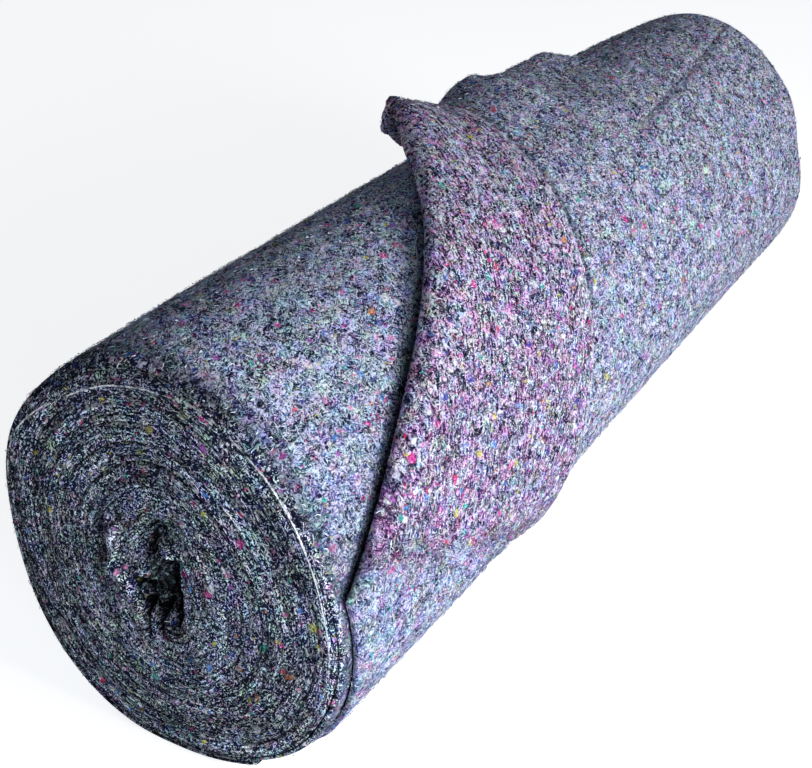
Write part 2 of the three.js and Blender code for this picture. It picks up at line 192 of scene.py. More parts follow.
class RollSizes(PropertyGroup):
    length: FloatProperty(name="Length", description="Width of the felt strip", default=1.0, unit="LENGTH")
    radius: FloatProperty(name="Radius", description="Mean radius of the roll", default=0.151, unit="LENGTH")
    felt: FloatProperty(name="Felt", description="Thickness of the felt", default=0.004, unit="LENGTH")
    slit: FloatProperty(name="Slit", description="Gap under the last tight turn", default=0.0009,
                        unit="LENGTH")
    slit_depth: FloatProperty(name="Slit depth", description="How deep that gap is", default=0.016,
                              unit="LENGTH")
    flat_spot: FloatProperty(name="Flat spot", description="How far it is pressed flat", default=0.0012,
                             unit="LENGTH")
    wrap_start: FloatProperty(name="Loose from", description="Angle where the loose turn leaves the roll",
                              default=math.radians(25), subtype="ANGLE")
    near_turns: IntProperty(name="Near turns", description="Turns that show on the near end", default=31)
    far_turns: IntProperty(name="Far turns", description="Turns that show on the far end", default=30)
    groove: FloatProperty(name="Groove", description="Depth of the grooves between turns", default=0.0011,
                          unit="LENGTH")
    uneven: FloatProperty(name="Uneven ends", description="How far the turns stand in and out", default=0.0016,
                          unit="LENGTH")
    columns: IntProperty(name="Columns", description="Faces round the roll", default=312)


class LooseTurnSizes(PropertyGroup):
    near_selvedge: FloatProperty(name="Near selvedge", description="Place along the roll",
                                 default=0.009, unit="LENGTH")
    far_selvedge: FloatProperty(name="Far selvedge", description="Place along the roll", default=0.996,
                                unit="LENGTH")
    cut_end: FloatProperty(name="Cut end", description="Place round the roll", default=0.603, unit="LENGTH")
    gap: FloatProperty(name="Gap", description="Between the roll and the loose turn", default=0.0009,
                       unit="LENGTH")
    fold_start: FloatProperty(name="Fold start", description="Where the fold leaves the near selvedge",
                              default=0.271, unit="LENGTH")
    fold_slope: FloatProperty(name="Fold slope", description="How steeply the fold climbs", default=0.62)
    flap_gap: FloatProperty(name="Flap gap", description="Between the flap and the turn below it",
                            default=0.0013, unit="LENGTH")
    grid: FloatProperty(name="Grid", description="Size of a face", default=0.0037, unit="LENGTH")


class FeltLook(PropertyGroup):
    dark: FloatVectorProperty(name="Dark fibre", description="Darkest fibres", subtype="COLOR",
                              default=(0.009, 0.012, 0.034))
    middle: FloatVectorProperty(name="Middle fibre", description="Most of the fibres", subtype="COLOR",
                                default=(0.188, 0.233, 0.395))
    light: FloatVectorProperty(name="Light fibre", description="Palest fibres", subtype="COLOR",
                               default=(0.68, 0.73, 0.90))
    warm: FloatVectorProperty(name="Warm fibre", description="Tint of the pinkish patches", subtype="COLOR",
                              default=(1.0, 0.62, 0.86))
    flecks: FloatProperty(name="Flecks", description="Share of bright flecks", default=0.1, subtype="FACTOR")
    end_shade: FloatProperty(name="End shade", description="How dark the cut ends are", default=0.86,
                             subtype="FACTOR")


class FibreSizes(PropertyGroup):
    pieces: IntProperty(name="Pieces", description="Meshes that the loose fibres are shared out to", default=3)
    count: IntProperty(name="Fibres", description="Loose fibres in a piece", default=24000)
    points: IntProperty(name="Points", description="Points along a fibre", default=5)
    length: FloatProperty(name="Length", description="Mean length of a fibre", default=0.0048, unit="LENGTH")
    thickness: FloatProperty(name="Thickness", description="Mean thickness of a fibre", default=0.0005,
                             unit="LENGTH")
    lie: FloatProperty(name="Lie", description="How far off the felt a fibre lies", default=0.0003,
                       unit="LENGTH")
    lift: FloatProperty(name="Lift", description="How far its middle may lift", default=0.0014, unit="LENGTH")
    seed: IntProperty(name="Seed", description="Another number lays the fibres differently", default=7)


class StageLook(PropertyGroup):
    floor: FloatProperty(name="Floor", description="Side of the floor", default=14, unit="LENGTH")
    floor_colour: FloatVectorProperty(name="Floor colour", description="Plain pale floor", subtype="COLOR",
                                      default=(0.86, 0.86, 0.86))
    camera_place: FloatVectorProperty(name="Camera place", description="Where the camera stands",
                                      default=(-1.05035, -0.51339, 0.71741), subtype="TRANSLATION",
                                      unit="LENGTH")
    camera_turn: FloatProperty(name="Camera turn", description="Angle from +X that it looks along",
                               default=math.radians(30.41), subtype="ANGLE")
    camera_tilt: FloatProperty(name="Camera tilt", description="Angle that it looks down", subtype="ANGLE",
                               default=math.radians(29.21))
    lens: FloatProperty(name="Lens", description="Focal length in millimetres", default=59.88)
    key: FloatProperty(name="Key light", description="Power of the key light", default=27.5, unit="POWER")
    front: FloatProperty(name="Front light", description="Power of the soft light on the near end", default=10,
                         unit="POWER")
    fill: FloatProperty(name="Fill light", description="Strength of the light from all round", default=0.18)
    glow: FloatProperty(name="Floor glow", description="How white the floor looks", default=0.75)


class MattingSettings(PropertyGroup):
    roll: PointerProperty(type=RollSizes)
    loose: PointerProperty(type=LooseTurnSizes)
    felt: PointerProperty(type=FeltLook)
    fibres: PointerProperty(type=FibreSizes)
    stage: PointerProperty(type=StageLook)


# ---------------------------------------------------------------- shape


def smooth(x):
    t = np.clip(x, 0, 1)
    return t * t * (3 - 2 * t)


def read(rows, column, place):
    """Value of one column of a table at a place, on a smooth curve through the rows."""
    table = np.array(rows, float)
    keys, values = table[:, 0], table[:, column]
    place = np.clip(place, keys[0], keys[-1])
    i = np.clip(np.searchsorted(keys, place, side="right") - 1, 0, len(keys) - 2)
    ends = np.arange(len(keys))
    before, after = np.maximum(ends - 1, 0), np.minimum(ends + 1, len(keys) - 1)
    slope = (values[after] - values[before]) / (keys[after] - keys[before])
    span = keys[i + 1] - keys[i]
    t = (place - keys[i]) / span
    rise = t * (1 - t) ** 2 * span * slope[i]
    fall = t * t * (t - 1) * span * slope[i + 1]
    return values[i] + (values[i + 1] - values[i]) * smooth(t) + rise + fall


def read_round(rows, column, angle):
    """The same for a table of angles that closes on itself round the roll."""
    turned = lambda row, by: (row[0] + by, *row[1:])
    rows = [*(turned(row, -360) for row in rows[-2:]), *rows, *(turned(row, 360) for row in rows[:2])]
    return read(rows, column, np.mod(angle, 360))


def waviness(x, y, z, seed):
    """Soft unevenness from -1 to 1 at many places."""
    x, y, z = np.broadcast_arrays(x, y, z)
    flat = [noise.noise(Vector((a, b, c + 17.3 * seed))) for a, b, c in zip(x.ravel(), y.ravel(), z.ravel())]
    return np.array(flat).reshape(x.shape)


def folds_height(folds, a, b):
    """Height of soft ridges and troughs, each along a straight line, at many places."""
    total = 0.0
    for a0, b0, a1, b1, width, height in folds:
        run_a, run_b = a1 - a0, b1 - b0
        share = np.clip(((a - a0) * run_a + (b - b0) * run_b) / (run_a**2 + run_b**2), 0, 1)
        away = np.hypot(a - a0 - share * run_a, b - b0 - share * run_b)
        total = total + height * np.exp(-((away / width) ** 2))
    return total


def core_height(y, z):
    """Height of the crumpled first turns over the near face."""
    return folds_height(CORE_FOLDS, y, z)


class RollForm:
    """The wound roll's surface, in millimetres and degrees."""

    def __init__(self, sizes):
        self.length = sizes.length / MM
        self.radius = sizes.radius / MM
        self.felt = sizes.felt / MM
        self.wrap_start = math.degrees(sizes.wrap_start)
        self.axis_height = float(self.turn_radius(self.length / 2, np.array(360.0))) - sizes.flat_spot / MM

    def section_radius(self, x, angle):
        share = 1.0
        for count, cosine, sine in SECTION_LOBES:
            turned = np.radians(count * angle)
            share = share + cosine * np.cos(turned) + sine * np.sin(turned)
        near = read_round(NEAR_BULGE, 1, angle) * (1 - smooth(x / END_REACH))
        far = read_round(FAR_BULGE, 1, angle) * (1 - smooth((self.length - x) / END_REACH))
        return self.radius * share + near + far

    def turn_radius(self, x, angle):
        return self.section_radius(x, angle) + self.felt * ((angle - self.wrap_start) / 360 - 0.5)

    def point(self, x, angle, radius):
        """Metres, from a place along the roll and a polar place round its axis."""
        turn = np.radians(angle)
        y, z = -radius * np.sin(turn), np.maximum(0, self.axis_height - radius * np.cos(turn))
        return np.stack(np.broadcast_arrays(x - self.length / 2, y, z), -1) * MM


class LooseForm:
    """The loose turn's middle surface over a wound roll, in millimetres."""

    def __init__(self, roll, sizes):
        self.roll = roll
        self.near = sizes.near_selvedge / MM
        self.far = sizes.far_selvedge / MM
        self.cut_end = sizes.cut_end / MM
        self.gap = sizes.gap / MM
        self.fold_start = sizes.fold_start / MM
        self.fold_angle = math.atan(sizes.fold_slope)
        self.flap_gap = sizes.flap_gap / MM
        self.first = math.radians(roll.wrap_start) * roll.radius + self.gap

    def rest_height(self, across, along):
        start = read(TOP_LIFT, START, across)
        rise = smooth((along - start) / (FULL_LIFT_AT - start))
        hang = 1 - HANG_DROP * smooth((along - FULL_LIFT_AT) / (self.cut_end - FULL_LIFT_AT))
        sag = read(BELLY_LIFT, 1, across) * np.exp(-(((along - BELLY_ALONG) / BELLY_WIDTH) ** 2))
        sag = sag + folds_height(SHEET_CREASES, across, along)
        return self.roll.felt / 2 + self.gap + read(TOP_LIFT, LIFT, across) * rise * hang + sag

    def sag_height(self, across, along):
        down = smooth((CORNER_SAG["below"] - along) / CORNER_SAG["reach"])
        return CORNER_SAG["drop"] * down * smooth((across - CORNER_SAG["from"]) / CORNER_SAG["width"])

    def folded_place(self, across, along):
        """Across, along and height of a point of the flat turn, mirrored back beyond the fold line."""
        run_across, run_along = math.cos(self.fold_angle), math.sin(self.fold_angle)
        off_across, off_along = across - self.near, along - self.fold_start
        run = off_across * run_across + off_along * run_along
        past = -off_across * run_along + off_along * run_across
        lip = {column: read(LIP, column, run) for column in (LOWER, CREST, PUSH, SHOULDER)}

        def at(distance):
            return (self.near + run * run_across - distance * run_along,
                    self.fold_start + run * run_along + distance * run_across)

        def shoulder(distance):
            return 1 - smooth(-distance / lip[SHOULDER])

        def lower(distance):
            return self.rest_height(*at(distance)) + lip[LOWER] * shoulder(distance)

        def upper(distance):
            seat = self.rest_height(*at(distance)) + self.roll.felt + self.flap_gap
            return seat + lip[CREST] * shoulder(distance) + self.sag_height(*at(distance))

        loop = (upper(0) - lower(0)) / 2
        half_loop = math.pi / 2 * loop
        swing = np.clip(past / half_loop + 1, 0, 2) * math.pi / 2
        out = -half_loop + (loop + lip[PUSH]) * np.sin(swing)
        bent = (upper(0) + lower(0)) / 2 - loop * np.cos(swing)
        below, above = past <= -half_loop, past >= half_loop
        reach = np.where(below, past, np.where(above, -past, out))
        height = np.where(below, lower(past + half_loop), np.where(above, upper(-past + half_loop), bent))
        return (*at(reach), height)

    def point(self, across, along, lifted=0.0):
        """Metres, of a point of the flat turn, and where wanted a little off the middle surface."""
        spot_across, spot_along, height = self.folded_place(across, along)
        angle = np.degrees(spot_along / self.roll.radius)
        kept = 1 - smooth((across - self.near) / WANDER_FADE)
        back = read(SELVEDGE_WANDER, 1, along) * kept
        radius = self.roll.turn_radius(spot_across, angle) + height + lifted
        place = self.roll.point(spot_across + back, angle, radius)
        for middle, pull, reach in PINCHES:
            near = np.exp(-np.sum(((place - np.multiply(middle, MM)) / (reach * MM)) ** 2, -1, keepdims=True))
            place = place + near * np.multiply(pull, MM)
        return place

    def faces(self, across, along):
        """Points half a thickness out and in from the middle surface."""
        probe = 0.5
        run_across = self.point(across + probe, along) - self.point(across - probe, along)
        run_along = self.point(across, along + probe) - self.point(across, along - probe)
        normal = np.cross(run_across, run_along)
        normal /= np.linalg.norm(normal, axis=-1, keepdims=True)
        middle = self.point(across, along)
        half = normal * (self.roll.felt / 2 * MM)
        # The selvedge thins out where it is folded back.
        thin = (1 - smooth((across - self.near) / 26)) * smooth((along - self.fold_start - 10) / 40)
        return middle + half, middle - half * (1 - 1.5 * thin)[..., None]


# ---------------------------------------------------------------- meshes


def grid_mesh(bm, columns, rows):
    """A grid of the given numbers of points, with its points as [row][column]."""
    made = bmesh.ops.create_grid(bm, x_segments=columns - 1, y_segments=rows - 1, size=1)["verts"]
    table = [[None] * columns for _ in range(rows)]
    for vert in made:
        column = round((vert.co.x + 1) / 2 * (columns - 1))
        row = round((vert.co.y + 1) / 2 * (rows - 1))
        table[row][column] = vert
    return table


def finished(bm, name, materials):
    """The mesh as a smooth-shaded object that rides on the body."""
    for face in bm.faces:
        face.smooth = True
    mesh = bpy.data.meshes.new(name)
    bm.to_mesh(mesh)
    bm.free()
    piece = bpy.data.objects.new(name, mesh)
    bpy.context.scene.collection.objects.link(piece)
    for material in materials:
        mesh.materials.append(material)
    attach(piece, "root")
    return piece


def rim_depth(rim, angle, inward):
    """How far the rim has rounded away at a distance in from the skin."""
    share = np.maximum(0, 1 - inward / read_round(rim, ROUNDING, angle))
    return read_round(rim, SET_BACK, angle) * (1 - np.sqrt(1 - share * share))


def core_painted_shade(y, z):
    """Height of the crumpled core, scaled for its painted shade: -1 is as dark as its troughs get."""
    return core_height(y, z) / 9


def end_rows(form, sizes, angles, end):
    """Rows of one end, from the blind end of its hollow to the skin, with their traits for the look."""
    felt, slit, slit_depth = form.felt, sizes.slit / MM, sizes.slit_depth / MM
    end_x, rim, mouth, hollow, turns = end["x"], end["rim"], end["mouth"], end["hollow"], end["turns"]
    round_share = (angles - form.wrap_start) / 360
    sine, cosine = np.sin(np.radians(angles)), np.cos(np.radians(angles))
    under_last = felt + slit
    outer = form.turn_radius(end_x, angles)
    reach = outer - under_last
    rows = []

    def add(angle, radius, depth, turn, face=0.0, groove=0.0):
        from_edge = outer - radius - read_round(PALE_EDGE, 1, angles) if end["edge"] else 99.0
        values = (angle, radius, depth, turn, face, groove, from_edge, read_round(EDGE_RISE_AND_HIGHLIGHT, 1, angles))
        rows.append([np.broadcast_to(value, angles.shape) for value in values])

    def mouth_point(shrink):
        radius = read_round(mouth, 1, angles) * shrink
        return hollow["y"] - radius * sine, hollow["z"] - radius * cosine

    def polar(y, z):
        return np.degrees(np.arctan2(-y, -z)), np.hypot(y, z)

    def crumpled(y, z):
        wrinkle = waviness(y / 7, z / 7, 0.0, end["seed"]) * 2.2
        wrinkle = wrinkle + waviness(y / 3, z / 3, 5.0, end["seed"]) * 1.0
        return end["height"](y, z) + wrinkle * np.exp(-((np.hypot(y - 8, z + 8) / 34) ** 2))

    # Down the hollow the felt gets painted shade, darker the deeper it goes.
    for step in HOLLOW_ROWS:
        folds = waviness(sine * 2.6, cosine * 2.6, step * 9.0, end["seed"]) * 0.45
        folds = folds + waviness(sine * 6, cosine * 6, step * 16.0, end["seed"] + 3) * 0.22
        y, z = mouth_point(1 - (1 - hollow["shrink"]) * step**0.7 + folds * smooth(step * 7))
        add(*polar(y, z), hollow["depth"] * step + 3 - crumpled(*mouth_point(1)) * (1 - step), -1.0, 1,
            np.maximum(0.3 + 0.7 * smooth(step / 0.3), np.clip(-core_painted_shade(y, z), 0, 1)))

    inner_y, inner_z = mouth_point(1)
    for k in range(turns):
        for within in end["within"]:
            at = k + within
            share = at / turns
            y, z = inner_y + (-reach * sine - inner_y) * share, inner_z + (-reach * cosine - inner_z) * share
            wound = at + round_share
            inward = outer - reach * share
            out_of_line = waviness(np.floor(wound) * 3.7, wound * 1.9, 0.0, end["seed"]) * 0.5
            out_of_line = out_of_line + waviness(wound * 0.23, wound * 5.1, 4.0, end["seed"]) * 0.6
            open_share = np.clip(0.6 + 1.5 * waviness(wound * 2.7, k * 1.3, 9.0, end["seed"]), 0.05, 1.3)
            # The grooves between turns are cut in, and also get painted shade.
            groove = open_share * (2 * within - 1) ** 4
            settle = smooth(share / 0.06) * smooth((1 - share) / 0.04)
            edge = np.exp(-(((inward - read_round(PALE_EDGE, 1, angles)) / 1.0) ** 2))
            edge = edge * read_round(EDGE_RISE_AND_HIGHLIGHT, 1, angles) * end["edge"]
            depth = 3 * np.exp(-share / 0.02) + rim_depth(rim, angles, inward) - crumpled(y, z) - 1.3 * edge
            depth = depth + (out_of_line * sizes.uneven + groove * sizes.groove) / MM * settle
            # Painted shade in the core's troughs, painted light on its ridges.
            add(*polar(y, z), depth, at, 1, groove + np.clip(-core_painted_shade(y, z), -0.35, 0.9) * end["edge"])

    def rim_row(inward, depth, spring_share, face, groove=0.0):
        radius = outer - inward + read_round(rim, SPRING, angles) * spring_share
        add(angles, radius, rim_depth(rim, angles, inward) + depth, turns + 0.5, face, groove)

    # The slit under the last turn gets painted shade as far as it is open.
    gape = read_round(SLIT_OPEN, 1, angles)
    rim_row(under_last, 0.6 * gape, 0, 1, 0.6 * gape)
    rim_row(under_last - slit / 4, 5 * gape, 0, 1, gape)
    rim_row(under_last - slit / 4, slit_depth * gape, 0, 1, gape)
    rim_row(felt + slit / 4, slit_depth * gape, 0.5, 1, gape)
    rim_row(felt + slit / 8, 5 * gape, 0.8, 1, gape)
    rim_row(felt, 0.7 * gape, 1, 1, 0.5 * gape)
    rim_row(felt * 0.82, 0.12, 1, 1)
    rim_row(felt / 2, -0.1, 1, 0.9)
    rim_row(felt * 0.22, 0.25, 1, 0.8)
    rim_row(0.3, 1.2, 1, 0.65)
    for depth in SKIN_ROWS:
        spring = read_round(rim, SPRING, angles) * smooth(1 - depth / END_REACH)
        radius = form.turn_radius(abs(end_x - depth), angles) + spring - (0.12 if depth < 4 else 0)
        face = 0.55 * smooth(1 - depth / RIM_SHADE_REACH)
        add(angles, radius, depth + read_round(rim, SET_BACK, angles), turns + 1.0, face)
    return rows


def wound_roll(settings, material):
    """The wound roll as one closed mesh, with its fine turns on both ends."""
    sizes = settings.roll
    form = RollForm(sizes)
    step = 0.2
    angles = form.wrap_start + step / 2 + (360 - step) * np.arange(sizes.columns + 1) / sizes.columns
    near = {"x": 0, "rim": NEAR_RIM, "mouth": NEAR_MOUTH, "hollow": NEAR_HOLLOW, "turns": sizes.near_turns,
            "within": (0, 0.14, 0.5, 0.86), "height": core_height, "edge": 1, "seed": 1}
    far = {"x": form.length, "rim": FAR_RIM, "mouth": FAR_MOUTH, "hollow": FAR_HOLLOW, "turns": sizes.far_turns,
           "within": (0, 0.3, 0.7), "height": lambda y, z: 0, "edge": 0, "seed": 2}
    rows = end_rows(form, sizes, angles, near)
    ends = [[angle, radius, form.length - depth, *rest]
            for angle, radius, depth, *rest in reversed(end_rows(form, sizes, angles, far))]
    first, last = rows[-1][2], ends[0][2]
    skin = form.turn_radius(form.length / 2, angles)
    for i in range(1, MIDDLE_ROWS):
        x = first + (last - first) * i / MIDDLE_ROWS
        rows.append([angles, skin, x, angles * 0 + sizes.near_turns + 1, *[angles * 0] * 4])
    rows += ends

    bm = bmesh.new()
    wind = bm.verts.layers.float_vector.new("wind")
    traits = [bm.verts.layers.float.new(name) for name in ("end_face", "groove", "from_edge", "edge_highlight_share")]
    table = grid_mesh(bm, len(angles) + 1, len(rows))
    for verts, (angle, radius, x, turn, *shares) in zip(table, rows):
        uneven = waviness(x / 55, np.sin(np.radians(angles)) * 3.2, np.cos(np.radians(angles)) * 3.2, 6)
        places = form.point(x, angle, radius + 0.45 * uneven * (1 - shares[0]))
        for j, vert in enumerate(verts):
            i = j % len(angles)
            vert.co = places[i]
            round_roll = math.radians(angles[i])
            wound = turn[i] + (angles[i] - form.wrap_start) / 360
            vert[wind] = (math.sin(round_roll), math.cos(round_roll), wound)
            for trait, share in zip(traits, shares):
                vert[trait] = share[i]
    seam = [vert for verts in table for vert in (verts[0], verts[-1])]
    bmesh.ops.remove_doubles(bm, verts=seam, dist=1e-7)
    ends = bmesh.ops.holes_fill(bm, edges=[edge for edge in bm.edges if edge.is_boundary], sides=0)["faces"]
    bmesh.ops.poke(bm, faces=ends)
    bmesh.ops.recalc_face_normals(bm, faces=bm.faces)
    piece = finished(bm, "wound_roll", [material])
    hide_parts("matting_roll")
    return piece


def loose_turn(settings, material):
    """The loose turn: a flat grid of felt, folded and laid over the roll, and given its thickness."""
    sizes = settings.loose
    form = LooseForm(RollForm(settings.roll), sizes)
    columns = round((form.far - form.near) * MM / sizes.grid) + 1
    rows = round((form.cut_end - form.first) * MM / sizes.grid) + 1
    across = np.linspace(form.near, form.far, columns)[None, :]
    along = np.linspace(form.first, form.cut_end, rows)[:, None]
    across, along = np.broadcast_arrays(across, along)
    outer, inner = form.faces(across, along)

    bm = bmesh.new()
    flat = bm.verts.layers.float_vector.new("flat_place")
    table = grid_mesh(bm, columns, rows)
    half = form.roll.felt / 2
    for j, verts in enumerate(table):
        for i, vert in enumerate(verts):
            vert.co = outer[j, i]
            vert[flat] = (across[j, i] * MM, along[j, i] * MM, half * MM)
    bmesh.ops.recalc_face_normals(bm, faces=bm.faces)
    middle = table[rows // 2][columns - 20]
    if middle.normal.dot(Vector((0, middle.co.y, middle.co.z - form.roll.axis_height * MM))) < 0:
        bmesh.ops.reverse_faces(bm, faces=bm.faces)
    bmesh.ops.solidify(bm, geom=bm.faces[:], thickness=form.roll.felt * MM)
    placed = {vert for verts in table for vert in verts}
    for vert in bm.verts:
        if vert not in placed:
            i = round((vert[flat].x / MM - form.near) / (form.far - form.near) * (columns - 1))
            j = round((vert[flat].y / MM - form.first) / (form.cut_end - form.first) * (rows - 1))
            vert.co = inner[j, i]
            vert[flat] = (*vert[flat][:2], -half * MM)
    edges = [edge for edge in bm.edges if edge.calc_face_angle(0) > math.radians(60)]
    bmesh.ops.bevel(bm, geom=edges, offset=0.001, offset_type="OFFSET", affect="EDGES", segments=2, profile=0.5,
                    material=-1, clamp_overlap=True)
    piece = finished(bm, "loose_turn", [material])
    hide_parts("loose_end")
    return piece


# ---------------------------------------------------------------- felt


FLOAT, VECTOR, COLOUR = "NodeSocketFloat", "NodeSocketVector", "NodeSocketColor"

# How deep the relief of the felt is, and how near other felt must lie to paint shade on it, in metres.
FELT_RELIEF = 0.0019
CREVICE_SHADE_REACH = 0.011

# Colours that are the same on every felt: painted shadow, painted highlights and a painted glow, and black and
# white.
PAINTED_SHADOW_LINE = (0.012, 0.014, 0.024, 1)
EDGE_HIGHLIGHT_FRINGE = (0.78, 0.80, 0.90, 1)
EDGE_HIGHLIGHT = (0.95, 0.97, 1.0, 1)
EDGE_GLOW = (0.85, 0.92, 1.0, 1)
PAINTED_GLOW_STRENGTH = 0.4
WHITE, BLACK = (1, 1, 1, 1), (0, 0, 0, 1)


class Nodes:
    """Short ways to add and join shader nodes."""

    def __init__(self, tree):
        self.tree = tree

    def add(self, kind, inputs=None, **options):
        node = self.tree.nodes.new(kind)
        for key, value in options.items():
            setattr(node, key, value)
        for key, value in (inputs or {}).items():
            self.feed(node.inputs[key], value)
        return node

    def feed(self, socket, value):
        if isinstance(value, bpy.types.NodeSocket):
            self.tree.links.new(value, socket)
        else:
            socket.default_value = value

    def math(self, operation, a, b=0.0, c=0.0):
        return self.add("ShaderNodeMath", {0: a, 1: b, 2: c}, operation=operation).outputs[0]

    def scaled(self, vector, scale):
        return self.add("ShaderNodeVectorMath", {0: vector, 1: scale}, operation="MULTIPLY").outputs[0]

    def moved(self, vector, by):
        return self.add("ShaderNodeVectorMath", {0: vector, 1: by}, operation="ADD").outputs[0]

    def laid(self, place, size):
        """A place in the cloth, with the marl drawn out along the lay of the fibres, and larger by a share."""
        lay = {"Vector": place, "Rotation": (0, LAY_TILT, LAY_TURN), "Scale": (size * LAY_STRETCH, size, size)}
        return self.add("ShaderNodeMapping", lay, vector_type="TEXTURE").outputs[0]

    def dot(self, vector, other):
        return self.add("ShaderNodeVectorMath", {0: vector, 1: other}, operation="DOT_PRODUCT").outputs["Value"]

    def noise(self, vector, scale, detail=2.0, roughness=0.5):
        return self.add("ShaderNodeTexNoise", {"Vector": vector, "Scale": scale, "Detail": detail,
                                               "Roughness": roughness})

    def spread(self, value, low, high, to_low=0.0, to_high=1.0, soft=True):
        node = self.add("ShaderNodeMapRange", {"Value": value, "From Min": low, "From Max": high,
                                               "To Min": to_low, "To Max": to_high},
                        interpolation_type="SMOOTHSTEP" if soft else "LINEAR")
        return node.outputs["Result"]

    def contrast(self, place):
        """Contrast of the marl, stronger towards the far end and the top."""
        parts = self.add("ShaderNodeSeparateXYZ", {0: place}).outputs
        return self.math("ADD", self.spread(parts[0], -0.5, 0.5, 0.78, 2.05, soft=False),
                         self.spread(parts[2], 0.2, 0.34, 0.0, 0.75))

    def with_crevice_shade(self, colour):
        """The colour with painted shade: darkened where the felt lies close under other felt."""
        air = self.add("ShaderNodeAmbientOcclusion", {"Distance": CREVICE_SHADE_REACH}, samples=3).outputs["AO"]
        return self.mix(1.0, colour, self.spread(air, 0.15, 0.8, 0.03, 1.0), "MULTIPLY")

    def mix(self, share, a, b, blend="MIX"):
        node = self.add("ShaderNodeMix", data_type="RGBA", blend_type=blend)
        self.feed(node.inputs[0], share)
        self.feed(node.inputs[6], a)
        self.feed(node.inputs[7], b)
        return node.outputs[2]

    def between(self, share, a, b, kind=FLOAT):
        """From one input of a felt to the other over a mask."""
        data_type, first, out = {FLOAT: ("FLOAT", 2, 0), VECTOR: ("VECTOR", 4, 1), COLOUR: ("RGBA", 6, 2)}[kind]
        return self.add("ShaderNodeMix", {0: share, first: a, first + 1: b}, data_type=data_type).outputs[out]


# Bright shreds in recycled felt: share of the way through them, colour.
FLECK_COLOURS = [
    (0.00, (0.70, 0.05, 0.34)), (0.08, (0.66, 0.04, 0.12)), (0.12, (0.72, 0.26, 0.52)),
    (0.21, (0.36, 0.10, 0.46)), (0.31, (0.03, 0.05, 0.32)), (0.43, (0.09, 0.26, 0.70)),
    (0.53, (0.05, 0.50, 0.44)), (0.60, (0.62, 0.58, 0.08)), (0.67, (0.72, 0.28, 0.10)),
    (0.69, (0.88, 0.90, 0.95)), (0.80, (0.004, 0.005, 0.014)),
]
# Shreds of three sizes: cells in a metre, size in a cell, share of the cells, strength, offset.
FLECK_LAYERS = [
    (115.0, 0.44, 0.8, 0.85, 0.0), (180.0, 0.48, 1.0, 0.85, 3.1), (280.0, 0.5, 0.7, 0.8, 7.7),
]
# Curled fibres: how many in a metre, offset, how much paler they are. Tints: how many in a metre, strength.
CURL_LAYERS = [(330.0, 2.3, 0.36), (250.0, 9.1, -0.12)]
TINT_LAYERS = [(130.0, 0.8), (75.0, 0.7)]
FELT_SOCKETS = [
    ("Place", VECTOR), ("Streak Place", VECTOR), ("Dark", COLOUR), ("Middle", COLOUR), ("Light", COLOUR),
    ("Warm", COLOUR), ("Warm Share", FLOAT), ("Streaks", FLOAT), ("Flecks", FLOAT), ("Contrast", FLOAT),
    ("Tone", FLOAT), ("Marl", FLOAT), ("Grain", FLOAT),
]


